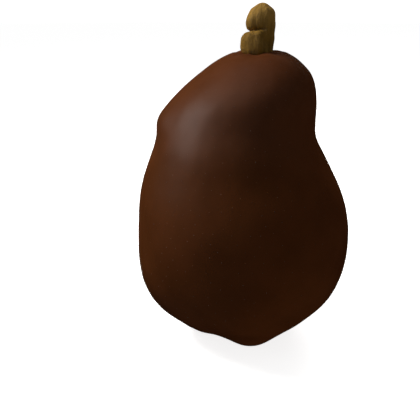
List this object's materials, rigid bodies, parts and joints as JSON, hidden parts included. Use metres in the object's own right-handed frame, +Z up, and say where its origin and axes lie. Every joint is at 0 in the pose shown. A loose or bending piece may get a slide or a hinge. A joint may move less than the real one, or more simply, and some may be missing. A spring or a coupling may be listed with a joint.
{
  "type": "pear",
  "caption": "Ripe dark russet pear with a leaning neck, a stout curved stalk and a dried calyx in the hollow under its lobed foot.",
  "frame": {"origin": "on the surface that the pear stands on, under the middle of its outline seen from above", "axes": "+Z up, -Y the front, +X the side that the neck leans to"},
  "size_m": [0.0726, 0.0724, 0.1115],
  "materials": {
    "skin": "satin",
    "bark": "matte",
    "dried_sepal": "matte",
    "dried_tuft": "matte"
  },
  "bodies": {
    "root": {"fruit": "skin", "stem": "bark", "sepal_1": "dried_sepal", "sepal_2": "dried_sepal", "sepal_3": "dried_sepal", "sepal_4": "dried_sepal", "sepal_5": "dried_sepal", "stamens": "dried_tuft"}
  },
  "joints": []
}
